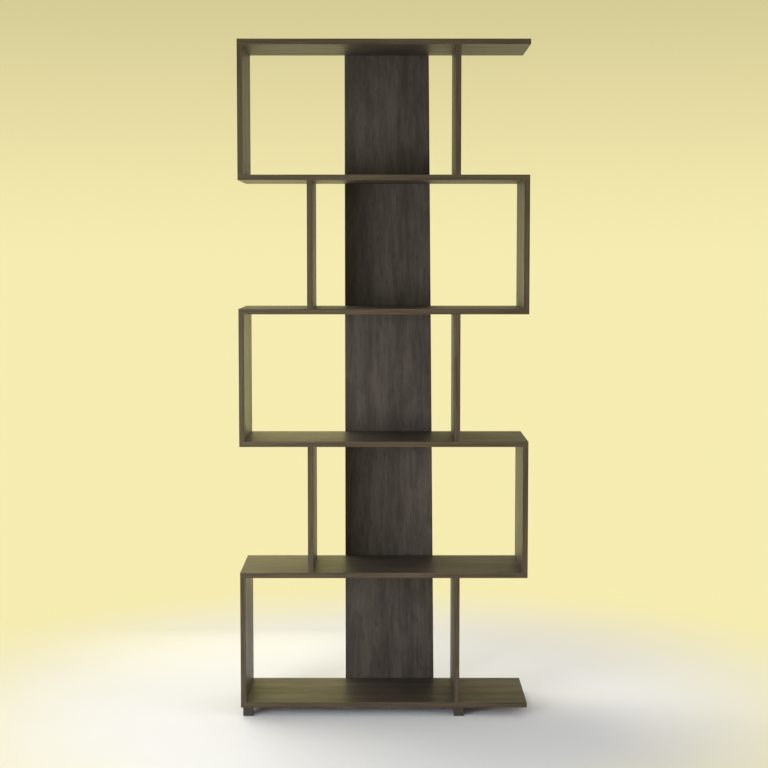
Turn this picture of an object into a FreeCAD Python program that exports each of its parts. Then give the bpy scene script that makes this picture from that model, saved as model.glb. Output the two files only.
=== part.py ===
import FreeCAD, Part
import math
import os

# A zigzag bookcase of flat boards, in millimetres: X to the right, Y to the back, Z up.
# The origin is on the floor, midway along the width and the overall depth.

# Boards, named from the top down
shelf_names = (
    "top_board",
    "upper_shelf",
    "upper_middle_shelf",
    "lower_middle_shelf",
    "lower_shelf",
    "bottom_board",
)
bookcase_width = 800.0
shelf_depth = 260.0
board_thickness = 15.0
tier_clear_height = 352.0
end_bay_width = 189.0

# Back panel, with an upright left edge and a right edge that leans out towards the floor
back_panel_left_reach = 113.0
back_panel_top_width = 242.0
back_panel_bottom_width = 260.0

# Edge bands glued over the cut edges of the boards
band_thickness = 1.0
band_rounding = 0.6
rounding_limit_share = 0.9

# Block feet
foot_width = 28.0
foot_depth = 28.0
foot_height = 25.0
foot_setback = 4.0
foot_end_inset = 6.0
foot_rounding = 1.0

# Cam discs, each let into one face of an upright
cam_diameter = 15.0
cam_back_wall = 2.5
cam_floor_gap = 0.5
cam_lip = 1.5
cam_end_distance = 34.0
cam_edge_distance = 37.0

# Cam bolts, screwed into the face of a shelf
bolt_bore_wall = 3.5
bolt_shank_clearance = 0.5
bolt_thread_diameter = 5.0
bolt_neck_diameter = 4.0
bolt_head_diameter = 6.5
bolt_head_height = 3.0
bolt_back_wall = 4.0

# Cover caps over the cam discs
cap_diameter = 17.0
cap_thickness = 0.5
cap_rounding = 0.3
cap_stem_diameter = 4.0
cap_stem_length = 2.0

# Wooden dowels between the cams
dowel_wall = 3.5
dowel_spacing = 32.0
dowel_back_wall = 5.0
dowel_upright_length = 20.0
dowel_chamfer = 0.8

# Screws through the back panel and through the feet
screw_head_diameter = 8.0
screw_head_height = 3.0
screw_shank_diameter = 4.2
screw_tip_length = 4.0
back_screw_inset = 50.0
back_screw_bite = 30.0
foot_screw_recess = 8.0
foot_screw_back_wall = 5.0
drive_span_share = 0.55
drive_width_share = 0.15
drive_depth_share = 0.6

# Fits
fit_clearance = 0.15
bore_end_gap = 0.5
cut_overrun = 2.0

# Places that follow from these sizes
half_width = bookcase_width / 2
overall_depth = shelf_depth + board_thickness
shelf_front = -overall_depth / 2
shelf_back = shelf_front + shelf_depth
panel_rear = shelf_back + board_thickness
tier_count = len(shelf_names) - 1
tier_pitch = tier_clear_height + board_thickness
shelf_bottoms = [foot_height + (tier_count - level) * tier_pitch for level in range(tier_count + 1)]
panel_bottom = foot_height
panel_top = shelf_bottoms[0] + board_thickness
cam_rows = (shelf_front + cam_edge_distance, shelf_back - cam_edge_distance)
dowel_rows = (cam_rows[0] + dowel_spacing, cam_rows[1] - dowel_spacing)
X_AXIS = FreeCAD.Vector(1, 0, 0)
Y_AXIS = FreeCAD.Vector(0, 1, 0)
Z_AXIS = FreeCAD.Vector(0, 0, 1)


# Shapes that several pieces use
def block(x_range, y_range, z_range):
    """A box between two places on each axis."""
    sides = [high - low for low, high in (x_range, y_range, z_range)]
    return Part.makeBox(*sides, FreeCAD.Vector(x_range[0], y_range[0], z_range[0]))


def rod(diameter, start, along, length):
    return Part.makeCylinder(diameter / 2, length, start, along)


def turned(profile):
    """A solid turned about Z from points given as diameter and height."""
    points = [FreeCAD.Vector(diameter / 2, 0, height) for diameter, height in profile]
    outline = Part.makePolygon(points + points[:1])
    return Part.Face(outline).revolve(FreeCAD.Vector(), Z_AXIS, 360)


def prism(outline, y_range):
    """A plate whose outline is given as X and Z."""
    points = [FreeCAD.Vector(x, y_range[0], z) for x, z in outline]
    face = Part.Face(Part.makePolygon(points + points[:1]))
    return face.extrude(Y_AXIS * (y_range[1] - y_range[0]))


def moved(shape, placement):
    copy = shape.copy()
    copy.Placement = placement.multiply(shape.Placement)
    return copy


def bored(board, tools):
    return board.cut(tools).Solids[0]


def rounded_band(strip, outward, every_edge):
    """An edge band with the edges of its outer face rounded, all of them or only the long ones."""
    outer_face = max(strip.Faces, key=lambda face: face.normalAt(0, 0).dot(outward))
    edges = sorted(outer_face.Edges, key=lambda edge: edge.Length)
    if not every_edge:
        edges = edges[-2:]
    radius = min(band_rounding, band_thickness * rounding_limit_share)
    return strip.makeFillet(radius, edges).Solids[0]


# Fittings, drawn where an upright stands on a shelf: the joint is at height zero, the middle of
# the upright's thickness is at zero along X, and the cam disc faces +X
face_x = board_thickness / 2
cam_bore_depth = board_thickness - cam_back_wall
cam_height = cam_bore_depth - cam_floor_gap
cam_centre = FreeCAD.Vector(face_x, 0, cam_end_distance)
bolt_bore_diameter = board_thickness - 2 * bolt_bore_wall
bolt_bore_depth = board_thickness - bolt_back_wall
dowel_bore_diameter = board_thickness - 2 * dowel_wall
dowel_bore_depth = board_thickness - dowel_back_wall


def make_cam_disc():
    """A disc with a slot that grips the bolt's head and a socket for the cap's stem."""
    disc = rod(cam_diameter - 2 * fit_clearance, cam_centre, -X_AXIS, cam_height)
    head_room = bolt_head_diameter / 2 + fit_clearance
    neck_room = bolt_neck_diameter / 2 + fit_clearance
    lip_height = cam_end_distance - cam_diameter / 2 + cam_lip
    head_top = cam_end_distance + bolt_head_height / 2 + fit_clearance
    head_slot = block((-head_room, head_room), (-head_room, head_room), (lip_height, head_top))
    neck_slot = block((-neck_room, neck_room), (-neck_room, neck_room), (0, cam_end_distance))
    socket_depth = cap_stem_length + bore_end_gap
    socket = rod(cap_stem_diameter + 2 * fit_clearance, cam_centre, -X_AXIS, socket_depth)
    return bored(disc, [head_slot, neck_slot, socket])


def make_cam_bolt():
    """A bolt with its thread in the shelf and its head in the cam disc."""
    thread_end = bore_end_gap - bolt_bore_depth
    shank_diameter = bolt_bore_diameter - 2 * bolt_shank_clearance
    shank_top = cam_end_distance - cam_diameter / 2 - bolt_shank_clearance
    head_bottom = cam_end_distance - bolt_head_height / 2
    head_top = cam_end_distance + bolt_head_height / 2
    return turned((
        (0, thread_end),
        (bolt_thread_diameter, thread_end),
        (bolt_thread_diameter, 0),
        (shank_diameter, 0),
        (shank_diameter, shank_top),
        (bolt_neck_diameter, shank_top),
        (bolt_neck_diameter, head_bottom),
        (bolt_head_diameter, head_bottom),
        (bolt_head_diameter, head_top),
        (0, head_top),
    ))


def make_cam_cap():
    """A round cover on the board's face, with a stem in the cam disc's socket."""
    rounding = min(cap_rounding, cap_thickness * rounding_limit_share)
    cap = turned((
        (0, -cap_stem_length),
        (cap_stem_diameter, -cap_stem_length),
        (cap_stem_diameter, 0),
        (cap_diameter, 0),
        (cap_diameter, cap_thickness - rounding),
        (cap_diameter - 2 * rounding, cap_thickness),
        (0, cap_thickness),
    ))
    return moved(cap, FreeCAD.Placement(cam_centre, FreeCAD.Rotation(Z_AXIS, X_AXIS)))


def make_dowel():
    bottom = bore_end_gap - dowel_bore_depth
    diameter = dowel_bore_diameter - 2 * fit_clearance
    end_diameter = diameter - 2 * dowel_chamfer
    return turned((
        (0, bottom),
        (end_diameter, bottom),
        (diameter, bottom + dowel_chamfer),
        (diameter, dowel_upright_length - dowel_chamfer),
        (end_diameter, dowel_upright_length),
        (0, dowel_upright_length),
    ))


def make_cam_bores():
    """What an upright loses for one cam disc and the bolt that reaches it."""
    mouth = cam_centre + X_AXIS * cut_overrun
    cam_bore = rod(cam_diameter, mouth, -X_AXIS, cam_bore_depth + cut_overrun)
    bolt_start = -Z_AXIS * cut_overrun
    bolt_bore = rod(bolt_bore_diameter, bolt_start, Z_AXIS, cam_end_distance + cut_overrun)
    return cam_bore.fuse(bolt_bore)


def make_shelf_bore(diameter, depth):
    """What a shelf loses for a bolt's thread or for the lower part of a dowel."""
    return rod(diameter, Z_AXIS * cut_overrun, -Z_AXIS, depth + cut_overrun)


def make_dowel_bore():
    depth = dowel_upright_length + bore_end_gap
    return rod(dowel_bore_diameter, -Z_AXIS * cut_overrun, Z_AXIS, depth + cut_overrun)


cam_disc = make_cam_disc()
cam_bolt = make_cam_bolt()
cam_cap = make_cam_cap()
dowel = make_dowel()
cam_bores = make_cam_bores()
thread_bore = make_shelf_bore(bolt_thread_diameter + 2 * fit_clearance, bolt_bore_depth)
dowel_bore = make_dowel_bore()
dowel_shelf_bore = make_shelf_bore(dowel_bore_diameter, dowel_bore_depth)


# Countersunk screws, drawn with the head's flat at height zero and the tip below
def make_screw(length):
    head_to_shank = -screw_head_height
    screw = turned((
        (0, 0),
        (screw_head_diameter, 0),
        (screw_shank_diameter, head_to_shank),
        (screw_shank_diameter, screw_tip_length - length),
        (0, -length),
    ))
    span = screw_head_diameter * drive_span_share / 2
    width = screw_head_diameter * drive_width_share / 2
    depth = screw_head_height * drive_depth_share
    across = block((-span, span), (-width, width), (-depth, cut_overrun))
    along = block((-width, width), (-span, span), (-depth, cut_overrun))
    return bored(screw, [across.fuse(along)])


def make_screw_bore(length, head_recess):
    """The clearance for such a screw, with a straight recess above its head."""
    head = screw_head_diameter + 2 * fit_clearance
    shank = screw_shank_diameter + 2 * fit_clearance
    mouth = head_recess + cut_overrun
    end = -length - bore_end_gap
    return turned((
        (0, mouth),
        (head, mouth),
        (head, 0),
        (shank, -screw_head_height),
        (shank, end),
        (0, end),
    ))


# Nodes, each a list of solids under its name
nodes = {}
shelf_tools = {name: [] for name in shelf_names}
shelf_band_tools = {name: [] for name in shelf_names}
bottom_tools = shelf_tools[shelf_names[-1]]
back_panel_tools = []
cam_discs = nodes.setdefault("cam_discs", [])
cam_bolts = nodes.setdefault("cam_bolts", [])
cam_caps = nodes.setdefault("cam_cover_caps", [])
dowels = nodes.setdefault("wooden_dowels", [])
back_screws = nodes.setdefault("back_panel_screws", [])
foot_screws = nodes.setdefault("foot_screws", [])


# Uprights
def add_joint(middle_x, joint_z, cam_face, upward, shelf):
    """Puts the fittings of one end of an upright in place and returns the upright's bores."""
    turn = FreeCAD.Rotation(X_AXIS * cam_face, Y_AXIS * cam_face * upward, Z_AXIS * upward, "ZXY")
    tools = []
    for y in cam_rows:
        place = FreeCAD.Placement(FreeCAD.Vector(middle_x, y, joint_z), turn)
        cam_discs.append(moved(cam_disc, place))
        cam_bolts.append(moved(cam_bolt, place))
        cam_caps.append(moved(cam_cap, place))
        shelf_tools[shelf].append(moved(thread_bore, place))
        tools.append(moved(cam_bores, place))
    for y in dowel_rows:
        place = FreeCAD.Placement(FreeCAD.Vector(middle_x, y, joint_z), turn)
        dowels.append(moved(dowel, place))
        shelf_tools[shelf].append(moved(dowel_shelf_bore, place))
        tools.append(moved(dowel_bore, place))
    return tools


def add_upright(name, middle_x, tier, cam_face):
    x_range = (middle_x - board_thickness / 2, middle_x + board_thickness / 2)
    z_range = (shelf_bottoms[tier + 1] + board_thickness, shelf_bottoms[tier])
    core = block(x_range, (shelf_front + band_thickness, shelf_back - band_thickness), z_range)
    tools = add_joint(middle_x, z_range[0], cam_face, 1, shelf_names[tier + 1])
    tools += add_joint(middle_x, z_range[1], cam_face, -1, shelf_names[tier])
    nodes[name] = [bored(core, tools)]
    front_band = block(x_range, (shelf_front, shelf_front + band_thickness), z_range)
    back_band = block(x_range, (shelf_back - band_thickness, shelf_back), z_range)
    nodes[name + "_edge_bands"] = [
        rounded_band(front_band, -Y_AXIS, False),
        rounded_band(back_band, Y_AXIS, False),
    ]


outer_middle = half_width - board_thickness / 2
divider_middle = half_width - end_bay_width - board_thickness / 2
for tier in range(tier_count):
    outer_side = 1 if tier % 2 else -1
    add_upright(f"tier_{tier + 1}_outer_panel", outer_side * outer_middle, tier, -outer_side)
    add_upright(f"tier_{tier + 1}_divider", -outer_side * divider_middle, tier, -outer_side)


# Back panel screws, two into the rear edge of every shelf
panel_left = -back_panel_left_reach
back_screw_columns = (
    panel_left + back_screw_inset,
    panel_left + back_panel_top_width - back_screw_inset,
)
back_screw_length = board_thickness + back_screw_bite
back_screw = make_screw(back_screw_length)
back_screw_bore = make_screw_bore(back_screw_length, 0)
towards_front = FreeCAD.Rotation(Z_AXIS, Y_AXIS)
for name, shelf_bottom in zip(shelf_names, shelf_bottoms):
    for x in back_screw_columns:
        head = FreeCAD.Vector(x, panel_rear, shelf_bottom + board_thickness / 2)
        place = FreeCAD.Placement(head, towards_front)
        back_screws.append(moved(back_screw, place))
        for tools in (shelf_tools[name], shelf_band_tools[name], back_panel_tools):
            tools.append(moved(back_screw_bore, place))


# Back panel
def panel_right(z):
    height_share = (z - panel_bottom) / (panel_top - panel_bottom)
    width_gain = back_panel_top_width - back_panel_bottom_width
    return panel_left + back_panel_bottom_width + width_gain * height_share


def add_back_panel():
    y_range = (shelf_back, panel_rear)
    lean = (back_panel_bottom_width - back_panel_top_width) / (panel_top - panel_bottom)
    right_band_width = band_thickness * math.hypot(1, lean)
    core_left = panel_left + band_thickness
    core_bottom = panel_bottom + band_thickness
    core_top = panel_top - band_thickness

    def core_right(z):
        return panel_right(z) - right_band_width

    def slice_between(low, high):
        return prism(
            ((core_left, low), (core_right(low), low), (core_right(high), high), (core_left, high)),
            y_range,
        )

    left_band = block((panel_left, core_left), y_range, (panel_bottom, panel_top))
    right_band = prism(
        (
            (core_right(panel_bottom), panel_bottom),
            (panel_right(panel_bottom), panel_bottom),
            (panel_right(panel_top), panel_top),
            (core_right(panel_top), panel_top),
        ),
        y_range,
    )
    nodes["back_panel"] = [bored(slice_between(core_bottom, core_top), back_panel_tools)]
    nodes["back_panel_edge_bands"] = [
        rounded_band(left_band, -X_AXIS, True),
        rounded_band(right_band, X_AXIS, True),
        rounded_band(slice_between(core_top, panel_top), Z_AXIS, False),
        rounded_band(slice_between(panel_bottom, core_bottom), -Z_AXIS, False),
    ]


add_back_panel()


# Feet, under the bottom tier's outer panel on the left and its divider on the right
foot_screw_length = foot_height - foot_screw_recess + board_thickness - foot_screw_back_wall
foot_screw = make_screw(foot_screw_length)
foot_screw_bore = make_screw_bore(foot_screw_length, foot_screw_recess)


def add_foot(name, low_x, low_y):
    x_range = (low_x, low_x + foot_width)
    y_range = (low_y, low_y + foot_depth)
    foot = block(x_range, y_range, (0, foot_height))
    top_face = max(foot.Faces, key=lambda face: face.CenterOfMass.z)
    edges = [edge for edge in foot.Edges if not any(edge.isSame(top) for top in top_face.Edges)]
    foot = foot.makeFillet(foot_rounding, edges)
    head = FreeCAD.Vector(sum(x_range) / 2, sum(y_range) / 2, foot_screw_recess)
    place = FreeCAD.Placement(head, FreeCAD.Rotation(Z_AXIS, -Z_AXIS))
    foot_screws.append(moved(foot_screw, place))
    bore = moved(foot_screw_bore, place)
    nodes[name] = [bored(foot, [bore])]
    bottom_tools.append(bore)


left_foot_x = -half_width + foot_end_inset
right_foot_x = divider_middle - board_thickness / 2
front_foot_y = shelf_front + foot_setback
rear_foot_y = shelf_back - foot_setback - foot_depth
add_foot("front_left_foot", left_foot_x, front_foot_y)
add_foot("front_right_foot", right_foot_x, front_foot_y)
add_foot("rear_left_foot", left_foot_x, rear_foot_y)
add_foot("rear_right_foot", right_foot_x, rear_foot_y)


# Shelves, last because every other piece bores into them
def add_shelf(name, shelf_bottom):
    z_range = (shelf_bottom, shelf_bottom + board_thickness)
    core_half = half_width - band_thickness
    core_depth = (shelf_front + band_thickness, shelf_back - band_thickness)
    core = block((-core_half, core_half), core_depth, z_range)
    front_band = block((-half_width, half_width), (shelf_front, core_depth[0]), z_range)
    back_band = block((-half_width, half_width), (core_depth[1], shelf_back), z_range)
    left_band = block((-half_width, -core_half), core_depth, z_range)
    right_band = block((core_half, half_width), core_depth, z_range)
    nodes[name] = [bored(core, shelf_tools[name])]
    nodes[name + "_edge_bands"] = [
        rounded_band(front_band, -Y_AXIS, True),
        bored(rounded_band(back_band, Y_AXIS, True), shelf_band_tools[name]),
        rounded_band(left_band, -X_AXIS, False),
        rounded_band(right_band, X_AXIS, False),
    ]


for name, shelf_bottom in zip(shelf_names, shelf_bottoms):
    add_shelf(name, shelf_bottom)


os.makedirs("parts", exist_ok=True)
for name, solids in nodes.items():
    Part.makeCompound(solids).exportStep(f"parts/{name}.step")
print(len(nodes), "nodes,", sum(len(solids) for solids in nodes.values()), "solids")
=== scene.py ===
import math
import random
from typing import NamedTuple

import bmesh
import bpy
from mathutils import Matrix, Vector


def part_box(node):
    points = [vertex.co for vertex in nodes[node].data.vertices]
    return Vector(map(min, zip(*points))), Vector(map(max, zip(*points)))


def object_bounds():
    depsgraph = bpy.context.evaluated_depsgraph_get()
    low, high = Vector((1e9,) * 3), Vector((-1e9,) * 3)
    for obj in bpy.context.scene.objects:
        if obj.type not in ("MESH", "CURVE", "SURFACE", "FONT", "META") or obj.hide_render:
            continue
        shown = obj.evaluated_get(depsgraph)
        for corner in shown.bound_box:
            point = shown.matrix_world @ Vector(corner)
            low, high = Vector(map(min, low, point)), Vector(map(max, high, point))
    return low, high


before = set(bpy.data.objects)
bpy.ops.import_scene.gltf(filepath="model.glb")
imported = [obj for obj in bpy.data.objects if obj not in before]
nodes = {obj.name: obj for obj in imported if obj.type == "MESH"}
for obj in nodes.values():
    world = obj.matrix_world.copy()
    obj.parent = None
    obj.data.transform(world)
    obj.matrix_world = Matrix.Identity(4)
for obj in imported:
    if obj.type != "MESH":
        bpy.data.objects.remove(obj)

# A zigzag bookcase of dark wood-grain boards, in metres: X to the right, Y to the back, Z up
cad_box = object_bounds()

# Pieces by what they are made of
bands = sorted(name for name in nodes if name.endswith("_edge_bands"))
boards = [name.removesuffix("_edge_bands") for name in bands]
shelves = [name for name in boards if name.endswith(("_board", "_shelf"))]
uprights = [name for name in boards if name.endswith(("_outer_panel", "_divider"))]
feet = sorted(name for name in nodes if name.endswith("_foot"))
metal_pieces = ["cam_discs", "cam_bolts", "back_panel_screws", "foot_screws"]

# Most values of a noise lie between these two
noise_low = 0.3
noise_high = 0.7
noise_middle = (noise_low + noise_high) / 2

# The Mix node's sockets for colours
mix_colour_inputs = (6, 7)
mix_colour_output = 2


class Mark(NamedTuple):
    """A kind of mark in a wood print: its size, its share in the colour and how far it smooths the face."""

    length: float
    width: float
    share: float = 0.0
    smoothing: float = 0.0
    detail: float = 2.0


class Tree:
    """A node tree, with short ways to add nodes and to link them."""

    def __init__(self, tree):
        self.tree = tree

    def add(self, kind, **settings):
        node = self.tree.nodes.new("ShaderNode" + kind)
        for key, value in settings.items():
            setattr(node, key, value)
        return node

    def feed(self, socket, value):
        """Links a socket to another node's output, or sets it to a plain value."""
        if isinstance(value, bpy.types.NodeSocket):
            self.tree.links.new(value, socket)
        else:
            socket.default_value = value

    def feed_all(self, sockets, values):
        for socket, value in zip(sockets, values):
            self.feed(socket, value)

    def math(self, operation, *values):
        node = self.add("Math", operation=operation)
        self.feed_all(node.inputs, values)
        return node.outputs[0]

    def vary(self, value, base, change):
        """The base, changed by the given amount where the value is one."""
        return self.math("MULTIPLY_ADD", value, change, base)

    def total(self, parts):
        """Sum of values, each with its weight."""
        value = 0.0
        for part, weight in parts:
            value = self.vary(part, base=value, change=weight)
        return value

    def spread(self, value, low=noise_low, high=noise_high, start=0.0, end=1.0):
        """Stretches the values from low to high over start to end, with soft ends."""
        node = self.add("MapRange", interpolation_type="SMOOTHSTEP")
        self.feed_all(node.inputs, (value, low, high, start, end))
        return node.outputs[0]

    def axes(self, vector):
        node = self.add("SeparateXYZ")
        self.feed(node.inputs[0], vector)
        return node.outputs

    def join(self, x, y, z):
        node = self.add("CombineXYZ")
        self.feed_all(node.inputs, (x, y, z))
        return node.outputs[0]

    def vector_math(self, operation, *vectors):
        node = self.add("VectorMath", operation=operation)
        self.feed_all(node.inputs, vectors)
        return node.outputs

    def noise(self, vector, sizes, detail):
        """Noise with marks of the given sizes in metres along the vector's three axes."""
        scaled = self.vector_math("MULTIPLY", vector, [1 / size for size in sizes])["Vector"]
        node = self.add("TexNoise")
        self.feed(node.inputs["Vector"], scaled)
        self.feed(node.inputs["Scale"], 1.0)
        self.feed(node.inputs["Detail"], detail)
        return node.outputs[0]

    def clouds(self, vector, size, detail):
        """Noise whose marks are as long as they are wide."""
        return self.noise(vector, (size, size, size), detail)

    def marks(self, vector, mark):
        """Noise drawn out along the first axis."""
        return self.noise(vector, (mark.length, mark.width, mark.width), mark.detail)

    def ramp(self, value, stops):
        node = self.add("ValToRGB")
        elements = node.color_ramp.elements
        while len(elements) < len(stops):
            elements.new(0.5)
        for element, (position, colour) in zip(elements, stops):
            element.position = position
            element.color = (*colour, 1)
        self.feed(node.inputs[0], value)
        return node.outputs[0]

    def mix(self, share, first, second):
        """Mixes two colours."""
        node = self.add("Mix", data_type="RGBA")
        self.feed(node.inputs["Factor"], share)
        self.feed_all([node.inputs[index] for index in mix_colour_inputs], (first, second))
        return node.outputs[mix_colour_output]

    def layer(self, share, first, second):
        """Mixes two surfaces or lights."""
        node = self.add("MixShader")
        self.feed_all(node.inputs, (share, first, second))
        return node.outputs[0]


class Shader(Tree):
    """A material's node tree around its own surface."""

    def __init__(self, name):
        self.material = bpy.data.materials.new(name)
        self.material.use_nodes = True
        super().__init__(self.material.node_tree)
        self.surface = self.tree.nodes["Principled BSDF"]

    def place(self):
        return self.add("TexCoord").outputs["Object"]

    def bump(self, height, distance, strength):
        node = self.add("Bump")
        self.feed(node.inputs["Height"], height)
        self.feed(node.inputs["Distance"], distance)
        self.feed(node.inputs["Strength"], strength)
        self.feed(self.surface.inputs["Normal"], node.outputs[0])

    def finish(self, **values):
        """Sets the surface's own inputs, named with underscores."""
        for key, value in values.items():
            self.feed(self.surface.inputs[key.replace("_", " ")], value)
        return self.material


# Wood print on the boards, with linear colours
wood_dark = (0.038, 0.031, 0.0265)
wood_middle = (0.057, 0.047, 0.0405)
wood_light = (0.078, 0.065, 0.0565)
wood_stops = (0.25, wood_dark), (0.5, wood_middle), (0.75, wood_light)
pore_colour = (0.027, 0.021, 0.017)

tone_marks = Mark(length=0.9, width=0.05, share=0.24, smoothing=0.04)
patch_marks = Mark(length=0.11, width=0.028, share=0.28)
streak_marks = Mark(length=0.22, width=0.012, share=0.12, smoothing=0.04)
fleck_marks = Mark(length=0.045, width=0.007, share=0.18)
fibre_marks = Mark(length=0.10, width=0.0026, share=0.08, smoothing=0.06, detail=3.0)
print_marks = (tone_marks, patch_marks, streak_marks, fleck_marks, fibre_marks)

ring_share = 0.10
ring_width = 0.012
ring_tilt = 0.035
ring_depth = 0.05
wander_marks = Mark(length=0.6, width=0.3)
wander_reach = 0.06
bend_marks = Mark(length=0.9, width=0.14)
bend_reach = 0.03

dash_marks = Mark(length=0.032, width=0.0055)
dash_range = (0.58, 0.70)
dash_strength = 0.8
dash_texture = 0.5
pore_marks = Mark(length=0.03, width=0.0008)
pore_range = (0.58, 0.68)
pore_strength = 0.45
pore_roughness = 0.15
pore_depth = 0.00008
fibre_rise = 0.35
wood_bump = 0.6
wood_roughness = 0.54
print_gloss = {"IOR": 1.45, "Specular_IOR_Level": 0.35}

# Each board's own stretch of log: how far along or into the log, and how far off its middle
grain_seed = 11
log_reach = 2.0
log_offset = 0.07


def grain_space(shader, order):
    """Coordinates in metres with the grain along the first axis, shifted for each piece."""
    axes = dict(zip("XYZ", shader.axes(shader.place())))
    turned = shader.join(*(axes[letter] for letter in order))
    shift = shader.add("Attribute", attribute_type="OBJECT", attribute_name="grain_shift")
    return shader.vector_math("ADD", turned, shift.outputs["Vector"])["Vector"]


def growth_rings(shader, grain):
    """Lines of a log that lies a little askew under the board, which meet its face in long arches."""
    along, across, _ = shader.axes(grain)
    bend = shader.math("SUBTRACT", shader.marks(grain, bend_marks), noise_middle)
    bent = shader.vary(bend, base=across, change=bend_reach)
    wander = shader.math("SUBTRACT", shader.marks(grain, wander_marks), noise_middle)
    depth = shader.vary(along, base=ring_depth, change=ring_tilt)
    depth = shader.vary(wander, base=depth, change=wander_reach)
    squares = shader.math("MULTIPLY_ADD", bent, bent, shader.math("MULTIPLY", depth, depth))
    radius = shader.math("SQRT", squares)
    wave = shader.math("SINE", shader.math("MULTIPLY", radius, math.tau / ring_width))
    return shader.vary(wave, base=0.5, change=0.5)


def make_wood(name, order):
    shader = Shader(name)
    grain = grain_space(shader, order)
    layers = {mark: shader.spread(shader.marks(grain, mark)) for mark in print_marks}
    fibres = layers[fibre_marks]
    dashes = shader.spread(shader.marks(grain, dash_marks), *dash_range)
    pores = shader.spread(shader.marks(grain, pore_marks), *pore_range)

    shares = [(layer, mark.share) for mark, layer in layers.items()]
    shares.append((growth_rings(shader, grain), ring_share))
    colour = shader.ramp(shader.total(shares), wood_stops)
    texture = shader.total(((fibres, -dash_texture), (pores, dash_texture)))
    dark = shader.math("MULTIPLY", dashes, shader.math("ADD", texture, dash_strength))
    dark = shader.math("MAXIMUM", dark, shader.math("MULTIPLY", pores, pore_strength))
    colour = shader.mix(dark, colour, (*pore_colour, 1))

    smoothing = shader.total((layer, mark.smoothing) for mark, layer in layers.items() if mark.smoothing)
    roughness = shader.math("SUBTRACT", wood_roughness, smoothing)
    roughness = shader.vary(pores, base=roughness, change=pore_roughness)
    height = shader.total(((pores, -1.0), (fibres, fibre_rise)))
    shader.bump(height, pore_depth, wood_bump)
    return shader.finish(Base_Color=colour, Roughness=roughness, **print_gloss)


# Edge bands, worn paler along their arrises
band_dark = (0.042, 0.0297, 0.0175)
band_light = (0.083, 0.0597, 0.036)
band_stops = (0.2, band_dark), (0.8, band_light)
band_streak_marks = Mark(length=0.25, width=0.006, share=0.5)
band_fibre_share = 0.5
band_bump = 0.35
worn_colour = (0.17, 0.135, 0.10)
worn_strength = 0.6
worn_range = (0.45, 0.7)
arris_range = (0.80, 0.98)
facing_limit = 0.5


def make_band(name, along, turned_along, across, turn_axis):
    """A printed band whose grain follows each strip. Strips that face the turn axis run the other way."""
    shader = Shader(name)
    place = shader.place()
    axes = dict(zip("XYZ", shader.axes(place)))
    normal = shader.add("NewGeometry").outputs["True Normal"]
    facing = {letter: shader.math("ABSOLUTE", value) for letter, value in zip("XYZ", shader.axes(normal))}
    turned = shader.math("GREATER_THAN", facing[turn_axis], facing_limit)
    step = shader.math("SUBTRACT", axes[turned_along], axes[along])
    length = shader.math("MULTIPLY_ADD", turned, step, axes[along])
    grain = shader.join(length, axes[across], turned)

    streaks = shader.spread(shader.marks(grain, band_streak_marks))
    fibres = shader.spread(shader.marks(grain, fibre_marks))
    blend = shader.total(((fibres, band_fibre_share), (streaks, band_streak_marks.share)))
    colour = shader.ramp(blend, band_stops)
    flattest = shader.math("MAXIMUM", facing["X"], shader.math("MAXIMUM", facing["Y"], facing["Z"]))
    arris = shader.spread(flattest, *arris_range, start=1.0, end=0.0)
    patches = shader.spread(shader.clouds(place, size=0.03, detail=4.0), *worn_range)
    worn = shader.math("MULTIPLY", shader.math("MULTIPLY", arris, patches), worn_strength)
    colour = shader.mix(worn, colour, (*worn_colour, 1))

    roughness = shader.vary(fibres, base=0.48, change=-0.08)
    shader.bump(fibres, pore_depth, band_bump)
    return shader.finish(Base_Color=colour, Roughness=roughness, **print_gloss)


# Moulded plastic, plated steel and bare wood of the small pieces
foot_colours = (0.026, 0.022, 0.017), (0.042, 0.036, 0.027)
zinc_colours = (0.50, 0.50, 0.50), (0.62, 0.61, 0.58)
dowel_colours = (0.45, 0.30, 0.17), (0.66, 0.48, 0.30)
dowel_marks = Mark(length=0.02, width=0.0012, detail=3.0)


def between(shader, value, colours):
    """From the first colour where the value is zero to the second where it is one."""
    return shader.ramp(value, tuple(zip((0.0, 1.0), colours)))


def make_plastic(name, colours, roughness):
    shader = Shader(name)
    place = shader.place()
    clouds = shader.spread(shader.clouds(place, size=0.012, detail=3.0))
    grains = shader.clouds(place, size=0.0006, detail=1.0)
    colour = between(shader, clouds, colours)
    rough = shader.vary(clouds, base=roughness, change=0.1)
    shader.bump(grains, distance=0.00006, strength=0.5)
    return shader.finish(Base_Color=colour, Roughness=rough, IOR=1.47, Specular_IOR_Level=0.4)


def make_zinc():
    shader = Shader("zinc_plate")
    spangle = shader.spread(shader.clouds(shader.place(), size=0.003, detail=3.0))
    colour = between(shader, spangle, zinc_colours)
    rough = shader.vary(spangle, base=0.3, change=0.15)
    shader.bump(spangle, distance=0.00002, strength=0.3)
    return shader.finish(Base_Color=colour, Roughness=rough, Metallic=1.0)


def make_dowel_wood():
    shader = Shader("dowel_wood")
    x, y, z = shader.axes(shader.place())
    fibres = shader.spread(shader.marks(shader.join(z, x, y), dowel_marks))
    colour = between(shader, fibres, dowel_colours)
    shader.bump(fibres, pore_depth, strength=0.4)
    return shader.finish(Base_Color=colour, Roughness=0.65)


# Every piece in its material
def dress(names, material):
    for name in names:
        slots = nodes[name].data.materials
        slots.clear()
        slots.append(material)


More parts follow.
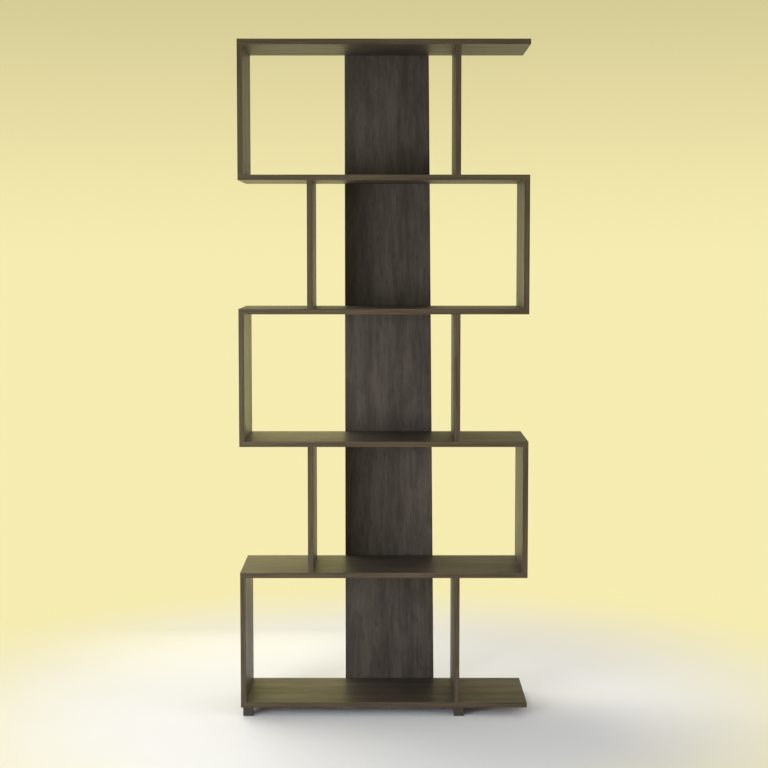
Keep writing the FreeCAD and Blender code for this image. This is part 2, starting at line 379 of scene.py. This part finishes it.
def shift_grain(names, order, draw):
    """Lays each board over its own stretch of log, near its middle."""
    for name in names:
        low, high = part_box(name)
        middle = (low + high) / 2
        centre = Vector(middle["XYZ".index(letter)] for letter in order)
        shift = Vector(draw.uniform(-reach, reach) for reach in (log_reach, log_offset, log_reach))
        nodes[name]["grain_shift"] = list(shift - centre)


def dress_all():
    draw = random.Random(grain_seed)
    for kind, names, order in (
        ("shelf_wood", shelves, "XYZ"),
        ("upright_wood", uprights, "ZYX"),
        ("back_panel_wood", ["back_panel"], "ZXY"),
    ):
        shift_grain(names, order, draw)
        dress(names, make_wood(kind, order))
    for names, band in (
        (shelves, make_band("shelf_band", "X", "Y", "Z", "X")),
        (uprights, make_band("upright_band", "Z", "Z", "X", "X")),
        (["back_panel"], make_band("back_panel_band", "Z", "X", "Y", "Z")),
    ):
        dress([name + "_edge_bands" for name in names], band)
    dress(feet, make_plastic("foot_plastic", foot_colours, roughness=0.5))
    dress(["cam_cover_caps"], make_plastic("cap_print", (wood_dark, wood_light), roughness=0.40))
    dress(metal_pieces, make_zinc())
    dress(["wooden_dowels"], make_dowel_wood())


# Pale backdrop for what is seen or mirrored, and a softer dome for the light it gives
backdrop_colour = (0.92, 0.84, 0.44)
upper_backdrop_colour = (0.63, 0.56, 0.28)
backdrop_rise = (-0.02, 0.2)
dome_colour = (1.0, 0.98, 0.95)
dome_strength = 0.48
floor_colour = (0.84, 0.86, 0.90)
floor_lift = 1.02
floor_radius = 40
floor_sides = 96
floor_fade = (0.6, 1.7)


def shown_share(tree):
    """One for rays that show the backdrop itself, zero for those that carry its light."""
    rays = tree.add("LightPath").outputs
    mirrored = tree.math("MAXIMUM", rays["Is Glossy Ray"], rays["Is Transmission Ray"])
    return tree.math("MAXIMUM", rays["Is Camera Ray"], mirrored)


def glow(tree, kind, seen_colour):
    """Light of the backdrop: its own colour where it is seen, the dome's where it only lights."""
    seen = tree.add(kind)
    tree.feed(seen.inputs["Color"], seen_colour)
    dome = tree.add(kind)
    tree.feed(dome.inputs["Color"], (*dome_colour, 1))
    tree.feed(dome.inputs["Strength"], dome_strength)
    return tree.layer(shown_share(tree), dome.outputs[0], seen.outputs[0])


def make_world():
    """A backdrop that darkens a little towards its top."""
    world = bpy.data.worlds.new("studio")
    world.use_nodes = True
    world.node_tree.nodes.remove(world.node_tree.nodes["Background"])
    tree = Tree(world.node_tree)
    _, _, height = tree.axes(tree.add("TexCoord").outputs["Generated"])
    rise = tree.spread(height, *backdrop_rise)
    colour = tree.mix(rise, (*backdrop_colour, 1), (*upper_backdrop_colour, 1))
    light = glow(tree, "Background", colour)
    tree.feed(world.node_tree.nodes["World Output"].inputs["Surface"], light)
    bpy.context.scene.world = world


def make_floor():
    """Pale floor under the bookcase that runs into the backdrop all round."""
    mesh = bpy.data.meshes.new("floor")
    shape = bmesh.new()
    bmesh.ops.create_circle(shape, cap_ends=True, segments=floor_sides, radius=floor_radius)
    shape.to_mesh(mesh)
    shape.free()
    floor = bpy.data.objects.new("floor", mesh)
    bpy.context.scene.collection.objects.link(floor)

    shader = Shader("floor_paint")
    place = shader.place()
    far = shader.spread(shader.vector_math("LENGTH", place)["Value"], *floor_fade)
    cloud = shader.spread(shader.clouds(place, size=0.5, detail=3.0))
    paler = tuple(value * floor_lift for value in floor_colour)
    colour = between(shader, cloud, (floor_colour, paler))
    shader.finish(Base_Color=colour, Roughness=0.7, Specular_IOR_Level=0.1)
    light = glow(shader, "Emission", (*backdrop_colour, 1))
    both = shader.layer(far, shader.surface.outputs[0], light)
    shader.feed(shader.tree.nodes["Material Output"].inputs["Surface"], both)
    mesh.materials.append(shader.material)


# Lamps, with sizes in metres, power in watts and spread in degrees
def make_lamp(name, place, aim, width, height, power, spread=180, colour=(1, 1, 1)):
    lamp = bpy.data.lights.new(name, "AREA")
    lamp.shape = "RECTANGLE"
    lamp.size = width
    lamp.size_y = height
    lamp.energy = power
    lamp.color = colour
    lamp.spread = math.radians(spread)
    thing = bpy.data.objects.new(name, lamp)
    thing.visible_camera = False
    thing.location = place
    thing.rotation_euler = (Vector(aim) - Vector(place)).to_track_quat("-Z", "Y").to_euler()
    bpy.context.scene.collection.objects.link(thing)


def make_lamps():
    """Soft key from the left, fill from the right, light from above, and warm light back from behind."""
    middle = (cad_box[0] + cad_box[1]) / 2
    make_lamp("key_lamp", place=(-1.85, -2.36, 0.85), aim=(0.12, 0.0, 0.66),
              width=1.4, height=1.3, power=17.5, spread=84)
    make_lamp("fill_lamp", place=(3.3, -1.5, 1.1), aim=(0.0, 0.0, 0.62),
              width=2.0, height=2.0, power=11, spread=100, colour=(1.0, 0.95, 0.82))
    make_lamp("top_lamp", place=(-1.6, 1.6, 4.6), aim=middle,
              width=2.6, height=2.6, power=120, colour=(1.0, 0.94, 0.78))
    make_lamp("bounce_lamp", place=(-0.5, 0.9, 0.74), aim=(-0.5, 0.0, 0.74),
              width=0.9, height=1.15, power=2.6, colour=(1.0, 0.88, 0.32))


# Photograph's framing, in pixels of its square frame and in metres
photo_side = 768
horizon_row = 249.45
front_scale = 363.93
eye_distance = 4.425
eye_height = 1.304
eye_side = 0.0004
frame_shift = -0.02
sensor_width = 36.0


def make_camera():
    """Stands where the photograph was taken, tipped down until the horizon is on its row."""
    front = cad_box[0].y
    pixels = front_scale * eye_distance
    below = photo_side / 2 - horizon_row + frame_shift * photo_side
    camera = bpy.data.cameras.new("camera")
    camera.sensor_width = sensor_width
    camera.lens = pixels * sensor_width / photo_side
    camera.shift_y = frame_shift
    thing = bpy.data.objects.new("camera", camera)
    thing.location = (eye_side, front - eye_distance, eye_height)
    thing.rotation_euler = (math.pi / 2 - math.atan(below / pixels), 0, 0)
    bpy.context.scene.collection.objects.link(thing)
    bpy.context.scene.camera = thing


dress_all()
make_floor()
make_world()
make_lamps()
make_camera()

bpy.context.scene.view_settings.view_transform = "Standard"
